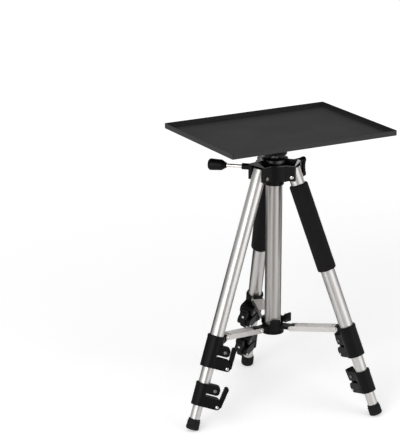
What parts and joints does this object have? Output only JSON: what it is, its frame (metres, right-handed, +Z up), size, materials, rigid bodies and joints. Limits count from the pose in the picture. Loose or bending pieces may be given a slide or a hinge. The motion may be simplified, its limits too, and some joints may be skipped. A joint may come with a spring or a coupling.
{
  "type": "portable projector stand",
  "caption": "Portable stand with a shallow rectangular tray on a cranked column, over folding telescopic tripod legs with flip-lock clamps and a sliding brace hub.",
  "frame": {"origin": "on the floor under the column axis", "axes": "+Z up along the column, +X along the tray's long side, +Y along its short side, away from the viewer"},
  "size_m": [0.4309, 0.4064, 0.6],
  "materials": {
    "tray_paint": "matte",
    "tube_aluminium": "satin",
    "strut_aluminium": "satin",
    "pin_steel": "bright",
    "rod_chrome": "polished",
    "crown_plastic": "satin",
    "cap_plastic": "gloss",
    "clamp_plastic": "satin",
    "grip_foam": "matte",
    "foot_rubber": "matte"
  },
  "bodies": {
    "crown": {"crown_body": "crown_plastic", "crown_cap": "cap_plastic", "column_collar": "cap_plastic", "center_tube": "tube_aluminium", "pivot_pin_left": "pin_steel", "pivot_pin_right": "pin_steel", "pivot_pin_back": "pin_steel"},
    "column": {"center_column": "tube_aluminium", "head_base": "crown_plastic"},
    "tray": {"tray": "tray_paint", "tray_plate": "crown_plastic"},
    "crank": {"crank_arm": "crown_plastic", "crank_knob": "crown_plastic"},
    "lock_handle": {"lock_rod": "rod_chrome", "lock_grip": "crown_plastic"},
    "hub": {"brace_hub": "crown_plastic"},
    "hub_knob": {"hub_knob": "crown_plastic"},
    "leg_left": {"upper_tube_left": "tube_aluminium", "upper_clamp_left": "clamp_plastic"},
    "middle_section_left": {"middle_tube_left": "tube_aluminium", "lower_clamp_left": "clamp_plastic"},
    "lower_section_left": {"lower_tube_left": "tube_aluminium", "foot_left": "foot_rubber"},
    "upper_lever_left": {"upper_lever_left": "clamp_plastic"},
    "lower_lever_left": {"lower_lever_left": "clamp_plastic"},
    "brace_left": {"strut_left": "strut_aluminium"},
    "leg_right": {"upper_tube_right": "tube_aluminium", "upper_clamp_right": "clamp_plastic", "grip_right": "grip_foam"},
    "middle_section_right": {"middle_tube_right": "tube_aluminium", "lower_clamp_right": "clamp_plastic"},
    "lower_section_right": {"lower_tube_right": "tube_aluminium", "foot_right": "foot_rubber"},
    "upper_lever_right": {"upper_lever_right": "clamp_plastic"},
    "lower_lever_right": {"lower_lever_right": "clamp_plastic"},
    "brace_right": {"strut_right": "strut_aluminium"},
    "leg_back": {"upper_tube_back": "tube_aluminium", "upper_clamp_back": "clamp_plastic", "grip_back": "grip_foam"},
    "middle_section_back": {"middle_tube_back": "tube_aluminium", "lower_clamp_back": "clamp_plastic"},
    "lower_section_back": {"lower_tube_back": "tube_aluminium", "foot_back": "foot_rubber"},
    "upper_lever_back": {"upper_lever_back": "clamp_plastic"},
    "lower_lever_back": {"lower_lever_back": "clamp_plastic"},
    "brace_back": {"strut_back": "strut_aluminium"}
  },
  "joints": [
    {"name": "column_raise", "type": "slide", "parent": "crown", "child": "column", "axis": [0, 0, 1], "range_m": [0, 0.26]},
    {"name": "crank_turn", "type": "hinge", "parent": "crown", "child": "crank", "pos_m": [0.07503, 0.01732, 0.48663], "axis": [0.9744, 0.225, 0], "range_deg": [0, 2500]},
    {"name": "tray_swivel", "type": "hinge", "parent": "column", "child": "tray", "pos_m": [0, 0, 0.56913], "axis": [0, 0, 1], "continuous": true},
    {"name": "lock_handle_turn", "type": "hinge", "parent": "crown", "child": "lock_handle", "pos_m": [-0.04979, 0.04483, 0.51263], "axis": [-0.7431, 0.6691, 0], "range_deg": [0, 180]},
    {"name": "hub_slide", "type": "slide", "parent": "crown", "child": "hub", "axis": [0, 0, 1], "range_m": [0, 0.0923]},
    {"name": "hub_knob_turn", "type": "hinge", "parent": "hub", "child": "hub_knob", "pos_m": [0.02923, 0.00675, 0.17973], "axis": [0.9744, 0.225, 0], "range_deg": [0, 180]},
    {"name": "legs_fold", "type": "hinge", "parent": "crown", "child": "leg_left", "pos_m": [-0.04238, -0.00979, 0.50313], "axis": [-0.225, 0.9744, 0], "range_deg": [-16, 0]},
    {"name": "brace_fold_left", "type": "hinge", "parent": "leg_left", "child": "brace_left", "pos_m": [-0.13322, -0.03076, 0.18269], "axis": [-0.225, 0.9744, 0], "range_deg": [-77.91, 0]},
    {"name": "middle_slide_left", "type": "slide", "parent": "leg_left", "child": "middle_section_left", "axis": [-0.3333, -0.0769, -0.9397], "range_m": [0, 0.3]},
    {"name": "lower_slide_left", "type": "slide", "parent": "middle_section_left", "child": "lower_section_left", "axis": [-0.3333, -0.0769, -0.9397], "range_m": [0, 0.3]},
    {"name": "upper_lever_open_left", "type": "hinge", "parent": "leg_left", "child": "upper_lever_left", "pos_m": [-0.14278, -0.05837, 0.12395], "axis": [0.4455, 0.8655, -0.2289], "range_deg": [0, 95]},
    {"name": "lower_lever_open_left", "type": "hinge", "parent": "middle_section_left", "child": "lower_lever_left", "pos_m": [-0.16977, -0.0646, 0.04784], "axis": [0.4455, 0.8655, -0.2289], "range_deg": [-8, 87]},
    {"name": "leg_fold_right", "type": "hinge", "parent": "crown", "child": "leg_right", "pos_m": [0.02967, -0.03181, 0.50313], "axis": [-0.7314, -0.682, 0], "range_deg": [-16, 0]},
    {"name": "brace_fold_right", "type": "hinge", "parent": "leg_right", "child": "brace_right", "pos_m": [0.09324, -0.09999, 0.18269], "axis": [-0.7314, -0.682, 0], "range_deg": [-77.91, 0]},
    {"name": "middle_slide_right", "type": "slide", "parent": "leg_right", "child": "middle_section_right", "axis": [0.2333, -0.2501, -0.9397], "range_m": [0, 0.3]},
    {"name": "lower_slide_right", "type": "slide", "parent": "middle_section_right", "child": "lower_section_right", "axis": [0.2333, -0.2501, -0.9397], "range_m": [0, 0.3]},
    {"name": "upper_lever_open_right", "type": "hinge", "parent": "leg_right", "child": "upper_lever_right", "pos_m": [0.12194, -0.09446, 0.12395], "axis": [-0.9723, -0.047, -0.2289], "range_deg": [0, 95]},
    {"name": "lower_lever_open_right", "type": "hinge", "parent": "middle_section_right", "child": "lower_lever_right", "pos_m": [0.14083, -0.11472, 0.04784], "axis": [-0.9723, -0.047, -0.2289], "range_deg": [-8, 87]},
    {"name": "leg_fold_back", "type": "hinge", "parent": "crown", "child": "leg_back", "pos_m": [0.01272, 0.0416, 0.50313], "axis": [0.9563, -0.2924, 0], "range_deg": [-16, 0]},
    {"name": "brace_fold_back", "type": "hinge", "parent": "leg_back", "child": "brace_back", "pos_m": [0.03997, 0.13075, 0.18269], "axis": [0.9563, -0.2924, 0], "range_deg": [-77.91, 0]},
    {"name": "middle_slide_back", "type": "slide", "parent": "leg_back", "child": "middle_section_back", "axis": [0.1, 0.3271, -0.9397], "range_m": [0, 0.3]},
    {"name": "lower_slide_back", "type": "slide", "parent": "middle_section_back", "child": "lower_section_back", "axis": [0.1, 0.3271, -0.9397], "range_m": [0, 0.3]},
    {"name": "upper_lever_open_back", "type": "hinge", "parent": "leg_back", "child": "upper_lever_back", "pos_m": [0.02084, 0.15283, 0.12395], "axis": [0.5268, -0.8186, -0.2289], "range_deg": [0, 95]},
    {"name": "lower_lever_open_back", "type": "hinge", "parent": "middle_section_back", "child": "lower_lever_back", "pos_m": [0.02894, 0.17933, 0.04784], "axis": [0.5268, -0.8186, -0.2289], "range_deg": [-8, 87]}
  ],
  "couplings": [
    {"joint": "crank_turn", "follows": "column_raise", "rad_per_m": 166.67},
    {"joint": "hub_slide", "follows": "legs_fold", "m_per_rad": -0.3268},
    {"joint": "brace_fold_left", "follows": "legs_fold", "ratio": 4.838},
    {"joint": "leg_fold_right", "follows": "legs_fold", "ratio": 1},
    {"joint": "brace_fold_right", "follows": "legs_fold", "ratio": 4.838},
    {"joint": "leg_fold_back", "follows": "legs_fold", "ratio": 1},
    {"joint": "brace_fold_back", "follows": "legs_fold", "ratio": 4.838}
  ]
}
